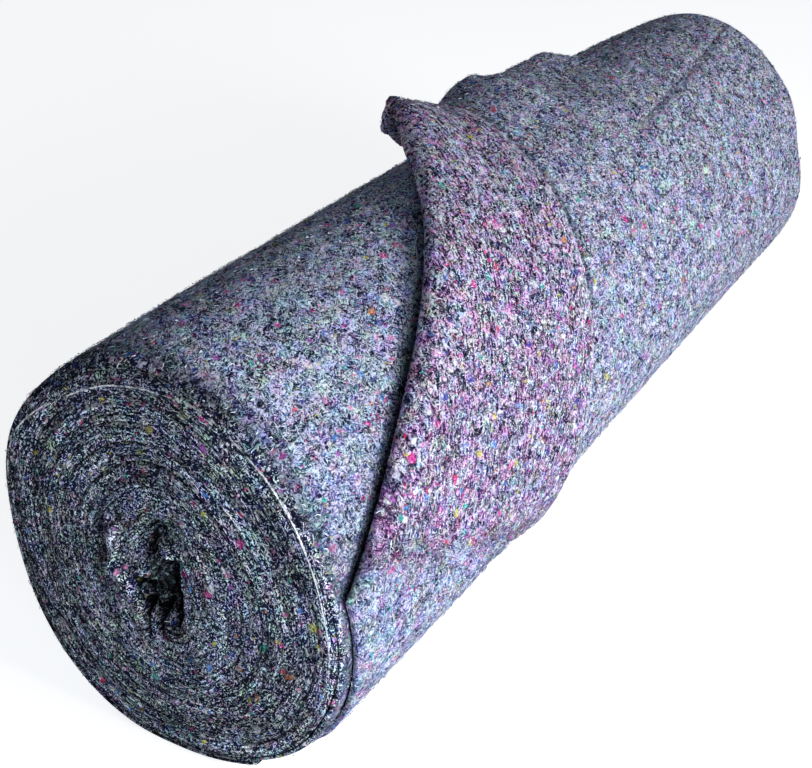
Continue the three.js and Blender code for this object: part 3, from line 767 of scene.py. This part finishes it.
def felt_group():
    """Recycled felt: marled fibres, bright flecks and light hairs at a place on the cloth, in metres."""
    group = bpy.data.node_groups.new("recycled_felt", "ShaderNodeTree")
    socket = group.interface.new_socket
    for name, kind in FELT_SOCKETS:
        socket(name=name, in_out="INPUT", socket_type=kind)
    for name, kind in (("Colour", COLOUR), ("Height", FLOAT), ("Rough", FLOAT)):
        socket(name=name, in_out="OUTPUT", socket_type=kind)
    n = Nodes(group)
    given = n.add("NodeGroupInput").outputs
    place, streak_place = given["Place"], given["Streak Place"]

    bend = n.noise(place, 210.0, 1.0).outputs["Color"]
    bend = n.scaled(n.moved(bend, (-0.5, -0.5, -0.5)), (0.006, 0.006, 0.006))
    bent = n.add("ShaderNodeVectorMath", {0: place, 1: bend}, operation="ADD").outputs[0]

    def centred(value, amount, total):
        return n.math("MULTIPLY_ADD", n.math("SUBTRACT", value, 0.5), amount, total)

    clump = n.noise(place, 290.0, 2.0, 0.6).outputs["Fac"]
    grain = n.noise(bent, 760.0, 1.0, 0.5).outputs["Fac"]
    streak = n.noise(streak_place, 1.0, 1.0, 0.5).outputs["Fac"]
    mottle = n.noise(place, 105.0, 1.0, 0.5).outputs["Fac"]
    patch = n.noise(place, 40.0, 2.0, 0.6).outputs["Fac"]
    marl = centred(clump, 0.95, n.math("MULTIPLY", n.math("SUBTRACT", mottle, 0.5), 0.7))
    for scale, offset, amount in CURL_LAYERS:
        curl = n.noise(n.moved(bent, (offset, offset, offset)), scale, 1.0).outputs["Fac"]
        curl = n.spread(n.math("ABSOLUTE", n.math("SUBTRACT", curl, 0.5)), 0.05, 0.0)
        marl = n.math("MULTIPLY_ADD", n.math("SUBTRACT", curl, 0.2), amount, marl)
    # The relief follows the coarser clumps, grain and streaks alone.
    relief = centred(grain, given["Grain"], n.math("MULTIPLY", clump, 0.8))
    relief = centred(streak, given["Streaks"], relief)
    value = n.math("MULTIPLY_ADD", marl, given["Marl"], 0.5)
    value = centred(grain, given["Grain"], value)
    value = centred(streak, given["Streaks"], value)
    value = centred(patch, 0.3, value)
    value = centred(value, given["Contrast"], n.math("ADD", given["Tone"], 0.5))

    hue = n.noise(place, 120.0, 2.0, 0.6).outputs["Color"]
    hues = n.add("ShaderNodeSeparateColor", {0: hue}).outputs
    warm = n.math("MULTIPLY", n.spread(hues[0], 0.42, 0.62), given["Warm Share"])
    tint = n.mix(warm, (0.97, 1.04, 1, 1), given["Warm"])
    for scale, amount in TINT_LAYERS:
        layer = n.noise(n.moved(place, (scale, 0, 0)), scale, 1.0).outputs["Color"]
        layer = n.add("ShaderNodeVectorMath", {0: layer, 1: (amount,) * 3, 2: (1 - amount / 2,) * 3},
                      operation="MULTIPLY_ADD").outputs[0]
        tint = n.mix(1.0, tint, layer, "MULTIPLY")
    # The palest fibres take less of the tint.
    colour = n.mix(n.spread(value, 0.20, 0.50, soft=False), given["Dark"], given["Middle"])
    colour = n.mix(1.0, colour, tint, "MULTIPLY")
    pale = n.mix(1.0, given["Light"], n.mix(0.85, WHITE, tint), "MULTIPLY")
    colour = n.mix(n.spread(value, 0.50, 0.82, soft=False), colour, pale)

    for scale, size, share, strength, offset in FLECK_LAYERS:
        cells = n.add("ShaderNodeTexVoronoi", {"Vector": n.moved(bent, (offset, offset, offset)), "Scale": scale})
        pick = n.add("ShaderNodeSeparateColor", {0: cells.outputs["Color"]}).outputs
        chosen = n.math("LESS_THAN", pick[0], n.math("MULTIPLY", given["Flecks"], share))
        ragged = centred(grain, 0.35, cells.outputs["Distance"])
        near = n.spread(ragged, size, size * 0.6)
        lit = colour_steps(n, pick[1], FLECK_COLOURS)
        lit = n.mix(1.0, lit, n.spread(grain, 0.3, 0.7, 0.5, 1.3), "MULTIPLY")
        colour = n.mix(n.math("MULTIPLY", n.math("MULTIPLY", chosen, near), strength), colour, lit)

    lines = n.noise(n.scaled(streak_place, (0.9, 0.9, 0.9)), 0.5, 2.0, 0.5).outputs["Fac"]
    hair = n.spread(n.math("ABSOLUTE", n.math("SUBTRACT", lines, 0.5)), 0.022, 0.004)
    gate = n.spread(n.noise(place, 110.0, 1.0).outputs["Fac"], 0.46, 0.56)
    hair = n.math("MULTIPLY", n.math("MULTIPLY", hair, gate), 0.7)
    colour = n.mix(hair, colour, given["Light"])

    out = n.add("NodeGroupOutput")
    n.feed(out.inputs["Colour"], colour)
    n.feed(out.inputs["Height"], relief)
    n.feed(out.inputs["Rough"], n.spread(value, 0.2, 0.8, 0.98, 0.82))
    return group


def felt_shader(material, felt, colour, painted_glow=None):
    """The Principled shader that all felt ends in, with painted shade where felt lies close under felt."""
    n = Nodes(material.node_tree)
    bump = n.add("ShaderNodeBump", {"Height": felt["Height"], "Strength": 0.75, "Distance": FELT_RELIEF})
    # The base colour gets painted shade where the felt lies close under other felt.
    shader = n.add("ShaderNodeBsdfPrincipled", {"Base Color": n.with_crevice_shade(colour), "Roughness": felt["Rough"],
                                                "Normal": bump.outputs[0], "Specular IOR Level": 0.1})
    if painted_glow is not None:
        n.feed(shader.inputs["Emission Color"], painted_glow)
        n.feed(shader.inputs["Emission Strength"], PAINTED_GLOW_STRENGTH)
    out = n.add("ShaderNodeOutputMaterial")
    n.feed(out.inputs["Surface"], shader.outputs[0])


def new_material(name):
    material = bpy.data.materials.new(name)
    material.use_nodes = True
    material.node_tree.nodes.clear()
    return material


def felt_inputs(look, changes):
    """What a felt is made from, where the changes don't say otherwise."""
    return {
        "Dark": (*look.dark, 1), "Middle": (*look.middle, 1), "Light": (*look.light, 1), "Warm": (*look.warm, 1),
        "Warm Share": 0.35, "Streaks": 0.3, "Flecks": look.flecks, "Tone": 0.02, "Marl": 0.85, "Grain": 1.55,
        **changes,
    }


def two_felts(n, look, group, share, one, other):
    """Felt that goes from one kind to another over a mask."""
    one, other = felt_inputs(look, one), felt_inputs(look, other)
    inputs = {name: one[name] if one[name] == other[name] else n.between(share, one[name], other[name], kind)
              for name, kind in FELT_SOCKETS}
    return n.add("ShaderNodeGroup", inputs, node_tree=group).outputs


def roll_felt(look, group):
    """Felt of the wound roll: plain marl on its skin, and darker streaks along the turns on its ends, with painted
    shade in their grooves and hollows and a painted highlight on one turn's edge.
    """
    material = new_material("roll_felt")
    n = Nodes(material.node_tree)
    place = n.add("ShaderNodeTexCoord").outputs["Object"]
    wind = n.add("ShaderNodeAttribute", attribute_name="wind").outputs["Vector"]
    mask = n.add("ShaderNodeAttribute", attribute_name="end_face").outputs["Fac"]
    fuzz = n.noise(place, 420.0, 2.0).outputs["Fac"]
    is_end = n.spread(n.math("MULTIPLY_ADD", n.math("SUBTRACT", fuzz, 0.5), 0.6, mask), 0.56, 0.9)
    laid = n.laid(place, 1.0)
    felt = two_felts(n, look, group, is_end, {
        "Place": laid, "Streak Place": n.scaled(laid, (400, 300, 300)), "Contrast": n.contrast(place),
        "Flecks": look.flecks * 1.1,
    }, {
        "Place": laid, "Streak Place": n.scaled(wind, (26.0, 26.0, 4.2)), "Streaks": 1.5, "Contrast": 2.1,
        "Tone": -0.27, "Marl": 0.45, "Grain": 2.2, "Flecks": look.flecks * 0.8,
        "Middle": (0.047, 0.068, 0.200, 1), "Light": (0.82, 0.90, 1.0, 1),
    })
    groove = n.add("ShaderNodeAttribute", attribute_name="groove").outputs["Fac"]
    fine_tone = n.noise(n.scaled(wind, (2.2, 2.2, 1.3)), 1.0, 2.0, 0.6).outputs["Fac"]
    wide_tone = n.noise(n.scaled(wind, (0.9, 0.9, 0.27)), 1.0, 1.0, 0.5).outputs["Fac"]
    tone = n.math("MULTIPLY", n.spread(fine_tone, 0.3, 0.7, 0.45, 1.6),
                  n.spread(wide_tone, 0.32, 0.68, 0.65, 1.35))
    # Painted light: the ends are paler on the outer side of the roll, towards -Y, where the key light stands.
    key_side = n.add("ShaderNodeSeparateXYZ", {0: wind}).outputs[0]
    tone = n.math("MULTIPLY", tone, n.spread(key_side, -0.2, 0.9, 0.98, 1.4))
    # Painted shade from the groove trait: in the grooves between turns, down the hollows, in the slit and in the
    # core's troughs; below 0 it is painted light on the core's ridges.
    lit = n.math("SUBTRACT", 1.0, n.math("MULTIPLY", groove, 0.85))
    shade = n.math("MULTIPLY", n.math("MULTIPLY", tone, look.end_shade), lit)
    # The skin darkens a little where it rounds over to the end.
    shade = n.between(is_end, n.spread(mask, 0.0, 0.6, 1.0, 0.55), shade)
    colour = n.mix(1.0, felt["Colour"], shade, "MULTIPLY")
    # The pale cut edge of one turn that stands out: pale fibres, lit up by a painted highlight and a painted glow.
    away = n.math("ABSOLUTE", n.add("ShaderNodeAttribute", attribute_name="from_edge").outputs["Fac"])
    away = n.math("MULTIPLY_ADD", n.math("SUBTRACT", fuzz, 0.5), 1.6, away)
    share = n.add("ShaderNodeAttribute", attribute_name="edge_highlight_share").outputs["Fac"]
    # Where it is faint it is broken up.
    broken = n.noise(place, 90.0, 2.0, 0.6).outputs["Fac"]
    whole = n.spread(n.math("MULTIPLY_ADD", share, 0.3, broken), 0.5, 0.68)
    share = n.math("MULTIPLY", n.math("POWER", share, 0.7), whole)
    pale = n.math("MULTIPLY", n.spread(away, 0.85, 0.2), share)
    colour = n.mix(pale, colour, EDGE_HIGHLIGHT)
    painted_glow = n.mix(pale, BLACK, EDGE_GLOW)
    felt_shader(material, felt, colour, painted_glow)
    return material


def loose_felt(look, sizes, group):
    """Felt of the loose turn: marl on its outer face, and a pinker, streakier inner face, with painted shadow by
    the flap's edge, painted shade along a crease and a painted highlight on the edge.
    """
    material = new_material("loose_felt")
    n = Nodes(material.node_tree)
    flat = n.add("ShaderNodeAttribute", attribute_name="flat_place").outputs["Vector"]
    parts = n.add("ShaderNodeSeparateXYZ", {0: flat}).outputs
    # The outer face's look creeps round the selvedge.
    inner = n.math("MULTIPLY", n.spread(parts[2], 0.0012, -0.0012), n.spread(parts[0], 0.010, 0.045))
    place = n.add("ShaderNodeTexCoord").outputs["Object"]
    laid = n.laid(place, 1.05)
    combed = n.add("ShaderNodeVectorRotate", {"Vector": flat, "Angle": math.radians(-14)},
                   rotation_type="Z_AXIS").outputs[0]
    shared = {"Place": laid, "Contrast": n.contrast(place)}
    felt = two_felts(n, look, group, inner, {
        **shared, "Streak Place": n.scaled(laid, (400, 300, 300)), "Warm Share": 0.6,
    }, {
        **shared, "Streak Place": n.scaled(combed, (150, 400, 400)), "Streaks": 1.1, "Tone": -0.04,
        "Middle": (0.250, 0.212, 0.350, 1), "Light": (0.74, 0.74, 0.92, 1), "Warm Share": 1.25,
        "Flecks": look.flecks * 1.4,
    })
    # Painted shadow in a dark line beyond the flap's cut edge, painted shade along the crease,
    # and a painted highlight on the edge itself. All three are broken.
    broken = n.noise(place, 130.0, 2.0, 0.6).outputs["Fac"]
    start = n.moved(flat, (-sizes.near_selvedge, -sizes.fold_start, 0))
    turn = 2 * math.atan(sizes.fold_slope)
    beyond = n.dot(start, (math.sin(turn), -math.cos(turn), 0))
    sideways = n.dot(start, (math.cos(turn), math.sin(turn), 0))
    edge = sizes.cut_end - sizes.fold_start
    line = n.math("MULTIPLY", n.spread(beyond, edge + 0.019, edge + 0.011), n.spread(sideways, 0.16, 0.25))
    line = n.math("MULTIPLY", line, n.spread(broken, 0.36, 0.50))
    off_crease = n.math("ABSOLUTE", n.math("SUBTRACT", n.dot(flat, (-CREASE_SLOPE, 1, 0)), CREASE_AT))
    crease_shade = n.math("MULTIPLY", n.spread(off_crease, 0.0032, 0.0010), n.spread(parts[0], 0.63, 0.68))
    crease_shade = n.math("MULTIPLY", crease_shade, n.spread(broken, 0.34, 0.54, 0.2, 0.75))
    fringe_highlight = n.math("MULTIPLY", n.spread(parts[1], sizes.cut_end - 0.006, sizes.cut_end - 0.001),
                    n.spread(broken, 0.44, 0.56))
    is_outer = n.math("SUBTRACT", 1.0, inner)
    painted_shadow_share = n.math("MULTIPLY", n.math("MAXIMUM", n.math("MULTIPLY", line, 0.7), crease_shade), is_outer)
    colour = n.mix(painted_shadow_share, felt["Colour"], PAINTED_SHADOW_LINE)
    colour = n.mix(n.math("MULTIPLY", n.math("MULTIPLY", fringe_highlight, 0.6), inner), colour, EDGE_HIGHLIGHT_FRINGE)
    felt_shader(material, felt, colour)
    return material


# Loose fibres: share of the way through them, colour.
FIBRE_COLOURS = [
    (0.00, (0.80, 0.88, 1.00)), (0.40, (0.40, 0.46, 0.68)), (0.57, (0.15, 0.18, 0.36)),
    (0.67, (0.006, 0.009, 0.022)), (0.83, (0.74, 0.10, 0.36)), (0.89, (0.30, 0.08, 0.40)),
    (0.92, (0.06, 0.16, 0.62)), (0.95, (0.05, 0.48, 0.42)), (0.975, (0.62, 0.56, 0.10)),
]


def colour_steps(n, value, steps):
    """One of several colours, picked by a value from 0 to 1."""
    ramp = n.add("ShaderNodeValToRGB", {0: value})
    ramp.color_ramp.interpolation = "CONSTANT"
    stops = ramp.color_ramp.elements
    stops.remove(stops[1])
    for k, (at, shade) in enumerate(steps):
        stop = stops[0] if k == 0 else stops.new(at)
        stop.position, stop.color = at, (*shade, 1)
    return ramp.outputs[0]


def fibre_material():
    material = new_material("fibres")
    n = Nodes(material.node_tree)
    tint = n.add("ShaderNodeAttribute", attribute_name="fibre_tint").outputs["Fac"]
    place = n.add("ShaderNodeTexCoord").outputs["Object"]
    shade = n.spread(n.noise(place, 240.0, 1.0).outputs["Fac"], 0.3, 0.7, 0.6, 1.1)
    colour = n.mix(1.0, colour_steps(n, tint, FIBRE_COLOURS), shade, "MULTIPLY")
    shader = n.add("ShaderNodeBsdfPrincipled", {"Base Color": colour, "Roughness": 0.8, "Specular IOR Level": 0.1})
    out = n.add("ShaderNodeOutputMaterial")
    n.feed(out.inputs["Surface"], shader.outputs[0])
    return material


def open_faces(carriers):
    """Corners, normals and chances of carrying a fibre, of the four-sided faces that nothing lies on."""
    covers = []
    for carrier in carriers:
        bm = bmesh.new()
        bm.from_mesh(carrier.data)
        covers.append(BVHTree.FromBMesh(bm))
        bm.free()
    corners, normals, weights = [], [], []
    for carrier in carriers:
        verts = carrier.data.vertices
        hollow = [0.0] * len(verts)
        if "groove" in carrier.data.attributes:
            carrier.data.attributes["groove"].data.foreach_get("value", hollow)
        for polygon in carrier.data.polygons:
            start = polygon.center + polygon.normal * 0.0004
            if len(polygon.vertices) != 4 or start.z < FIBRE_FLOOR_GAP:
                continue
            if any(cover.ray_cast(start, polygon.normal, FIBRE_HEADROOM)[0] for cover in covers):
                continue
            corners.append([verts[i].co[:] for i in polygon.vertices])
            normals.append(polygon.normal[:])
            bare = max(0, 1 - 2 * abs(hollow[polygon.vertices[0]]))
            weights.append(polygon.area * bare * (1 - 0.65 * abs(polygon.normal.x)))
    return np.array(corners), np.array(normals), np.array(weights) / sum(weights)


def stray_fibres(settings, carriers):
    """Loose fibres that lie on the felt, as narrow curved ribbons, in a few pieces."""
    sizes = settings.fibres
    dice = np.random.default_rng(sizes.seed)
    faces = open_faces(carriers)
    material = fibre_material()
    return [fibre_piece(f"stray_fibres_{k + 1}", sizes, faces, dice, material) for k in range(sizes.pieces)]


def fibre_piece(name, sizes, faces, dice, material):
    """One mesh of loose fibres, strewn over the open faces by chance."""
    corners, normals, chances = faces
    count, points = sizes.count, sizes.points
    pick = dice.choice(len(chances), count, p=chances)
    u, v = dice.random((2, count, 1))
    corner, up = corners[pick], normals[pick]
    bottom, top = (corner[:, a] * (1 - u) + corner[:, b] * u for a, b in ((0, 1), (3, 2)))
    middle = bottom * (1 - v) + top * v
    side = np.cross(up, dice.normal(size=(count, 3)))
    side /= np.linalg.norm(side, axis=1, keepdims=True)
    # On the ends they lie along the turns.
    turned = np.cross((1, 0, 0), middle - (0, 0, 0.15)) * dice.choice((-1, 1), (count, 1))
    side += np.abs(up[:, :1]) ** 4 * 2.2 * turned / np.linalg.norm(turned, axis=1, keepdims=True)
    side -= up * np.sum(side * up, 1, keepdims=True)
    side /= np.linalg.norm(side, axis=1, keepdims=True)
    cross = np.cross(up, side)

    t = np.linspace(-0.5, 0.5, points)
    coarse = 1.2 + 0.5 * middle[:, :1]
    length = sizes.length * dice.uniform(0.35, 1.65, (count, 1))
    heading = dice.normal(0, 2.0, (count, 1)) * t + dice.normal(0, 0.8, (count, 1)) * np.sin(2 * math.pi * t)
    along, sideways = (np.cumsum(wave(heading), 1) * length / points for wave in (np.cos, np.sin))
    along, sideways = along - along.mean(1, keepdims=True), sideways - sideways.mean(1, keepdims=True)
    rise = sizes.lie + sizes.lift * dice.random((count, 1)) ** 2 * (1 - 3 * t * t)
    line = middle[:, None] + along[..., None] * side[:, None] + sideways[..., None] * cross[:, None]
    line += rise[..., None] * up[:, None]
    tilt = dice.normal(0, 0.5, (count, 1))
    flat = np.cos(heading)[..., None] * cross[:, None] - np.sin(heading)[..., None] * side[:, None]
    flat = flat * np.cos(tilt)[..., None] + up[:, None] * np.sin(tilt)[..., None]
    width = sizes.thickness * coarse * dice.uniform(0.6, 1.4, (count, 1)) * (1 - 2.2 * t * t)
    half = flat * width[..., None] / 2
    places = np.stack([line - half, line + half], 1)

    bm = bmesh.new()
    bmesh.ops.create_grid(bm, x_segments=points - 1, y_segments=2 * count - 1, size=1)
    # The rows are joined two by two, so every other strip of faces goes.
    strip = lambda face: round((face.calc_center_median().y + 1) / 2 * (2 * count - 1) - 0.5)
    bmesh.ops.delete(bm, geom=[face for face in bm.faces if strip(face) % 2], context="FACES")
    piece = finished(bm, name, [material])
    mesh = piece.data
    grid = np.empty(3 * len(mesh.vertices))
    mesh.vertices.foreach_get("co", grid)
    column, row = (np.rint((grid.reshape(-1, 3)[:, axis] + 1) / 2 * (total - 1)).astype(int)
                   for axis, total in ((0, points), (1, 2 * count)))
    mesh.vertices.foreach_set("co", places[row // 2, row % 2, column].ravel())
    tint = mesh.attributes.new("fibre_tint", "FLOAT", "POINT")
    tint.data.foreach_set("value", dice.random(count)[row // 2])
    mesh.update()
    return piece


# ---------------------------------------------------------------- stage


def stage_floor(look):
    bm = bmesh.new()
    bmesh.ops.create_grid(bm, x_segments=2, y_segments=2, size=look.floor / 2)
    mesh = bpy.data.meshes.new("floor")
    bm.to_mesh(mesh)
    bm.free()
    material = new_material("pale_floor")
    n = Nodes(material.node_tree)
    place = n.add("ShaderNodeTexCoord").outputs["Object"]
    shade = n.spread(n.noise(place, 1.5, 2.0).outputs["Fac"], 0.2, 0.8, 0.985, 1.0)
    tint = n.mix(1.0, (*look.floor_colour, 1), shade, "MULTIPLY")
    seen = n.add("ShaderNodeLightPath").outputs["Is Camera Ray"]
    shader = n.add("ShaderNodeBsdfPrincipled", {
        "Base Color": tint, "Roughness": 0.9, "Emission Color": (1, 1, 1, 1),
        "Emission Strength": n.spread(seen, 0.0, 1.0, look.glow * 0.26, look.glow, soft=False)})
    out = n.add("ShaderNodeOutputMaterial")
    n.feed(out.inputs["Surface"], shader.outputs[0])
    mesh.materials.append(material)
    floor = bpy.data.objects.new("floor", mesh)
    bpy.context.scene.collection.objects.link(floor)


def area_light(name, place, aim, size, colour, power):
    light = bpy.data.lights.new(name, "AREA")
    light.color = colour
    light.shape = "DISK"
    light.size = size
    light.energy = power
    lamp = bpy.data.objects.new(name, light)
    lamp.location = place
    lamp.rotation_euler = (Vector(aim) - Vector(place)).to_track_quat("-Z", "Y").to_euler()
    bpy.context.scene.collection.objects.link(lamp)


def stage_camera(look):
    camera = bpy.data.cameras.new("camera")
    camera.lens = look.lens
    camera.sensor_width = 36
    camera.clip_end = 100
    stand = bpy.data.objects.new("camera", camera)
    stand.location = look.camera_place
    turn, tilt = look.camera_turn, look.camera_tilt
    ahead = Vector((math.cos(tilt) * math.cos(turn), math.cos(tilt) * math.sin(turn), -math.sin(tilt)))
    stand.rotation_euler = ahead.to_track_quat("-Z", "Y").to_euler()
    bpy.context.scene.collection.objects.link(stand)
    bpy.context.scene.camera = stand


# Soft lights: name, where it stands, what it shines at, its width, colour.
KEY_LIGHT = ("key_light", (-0.28, -1.6, 0.66), (-0.03, 0, 0.15), 0.8, (1, 1, 1))
FRONT_LIGHT = ("front_light", (-1.5, -1.25, 0.52), (-0.5, -0.05, 0.13), 0.6, (0.84, 0.92, 1.0))
# The light from all round, a little blue, and how white it looks behind the roll.
FILL_COLOUR = (0.85, 0.94, 1.04, 1)
BACKDROP = 0.96


def stage_light(look):
    area_light(*KEY_LIGHT, look.key)
    area_light(*FRONT_LIGHT, look.front)
    world = bpy.data.worlds.new("soft_light")
    world.use_nodes = True
    bpy.context.scene.world = world
    n = Nodes(world.node_tree)
    background = world.node_tree.nodes["Background"]
    seen = n.add("ShaderNodeLightPath").outputs["Is Camera Ray"]
    n.feed(background.inputs["Color"], n.mix(seen, FILL_COLOUR, WHITE))
    n.feed(background.inputs["Strength"], n.spread(seen, 0.0, 1.0, look.fill, BACKDROP, soft=False))
    bpy.context.scene.view_settings.view_transform = "Standard"


# ---------------------------------------------------------------- operators


class MATTING_OT_stage(Operator):
    """Adds the pale floor, the soft light and the camera"""
    bl_idname = "matting.stage"
    bl_label = "Add stage"

    def execute(self, context):
        look = context.scene.matting.stage
        stage_floor(look)
        stage_light(look)
        stage_camera(look)
        return {"FINISHED"}


class MATTING_OT_wound_roll(Operator):
    """Adds the wound roll with its fine turns"""
    bl_idname = "matting.wound_roll"
    bl_label = "Add wound roll"

    def execute(self, context):
        settings = context.scene.matting
        group = bpy.data.node_groups.get("recycled_felt") or felt_group()
        wound_roll(settings, roll_felt(settings.felt, group))
        return {"FINISHED"}


class MATTING_OT_loose_turn(Operator):
    """Adds the loose last turn with its folded-back corner"""
    bl_idname = "matting.loose_turn"
    bl_label = "Add loose turn"

    def execute(self, context):
        settings = context.scene.matting
        group = bpy.data.node_groups.get("recycled_felt") or felt_group()
        loose_turn(settings, loose_felt(settings.felt, settings.loose, group))
        return {"FINISHED"}


class MATTING_OT_stray_fibres(Operator):
    """Adds the loose fibres on the felt"""
    bl_idname = "matting.stray_fibres"
    bl_label = "Add stray fibres"

    def execute(self, context):
        stray_fibres(context.scene.matting, [bpy.data.objects["wound_roll"], bpy.data.objects["loose_turn"]])
        return {"FINISHED"}


class MATTING_PT_panel(Panel):
    """Lists the pieces of the matting roll"""
    bl_idname = "MATTING_PT_panel"
    bl_label = "Matting roll"
    bl_space_type = "VIEW_3D"
    bl_region_type = "UI"
    bl_category = "Matting"

    def draw(self, context):
        layout = self.layout
        for operator in OPERATORS:
            layout.operator(operator.bl_idname)
        matting = context.scene.matting
        for group in (matting.roll, matting.loose, matting.felt, matting.fibres, matting.stage):
            column = layout.column(align=True)
            for name in group.__annotations__:
                column.prop(group, name)


OPERATORS = (MATTING_OT_stage, MATTING_OT_wound_roll, MATTING_OT_loose_turn, MATTING_OT_stray_fibres)
CLASSES = (RollSizes, LooseTurnSizes, FeltLook, FibreSizes, StageLook, MattingSettings, *OPERATORS,
           MATTING_PT_panel)


def register():
    for item in CLASSES:
        bpy.utils.register_class(item)
    bpy.types.Scene.matting = PointerProperty(type=MattingSettings)


def unregister():
    del bpy.types.Scene.matting
    for item in reversed(CLASSES):
        bpy.utils.unregister_class(item)


def main():
    register()
    bpy.ops.matting.stage()
    bpy.ops.matting.wound_roll()
    bpy.ops.matting.loose_turn()
    bpy.ops.matting.stray_fibres()


if __name__ == "__main__":
    main()
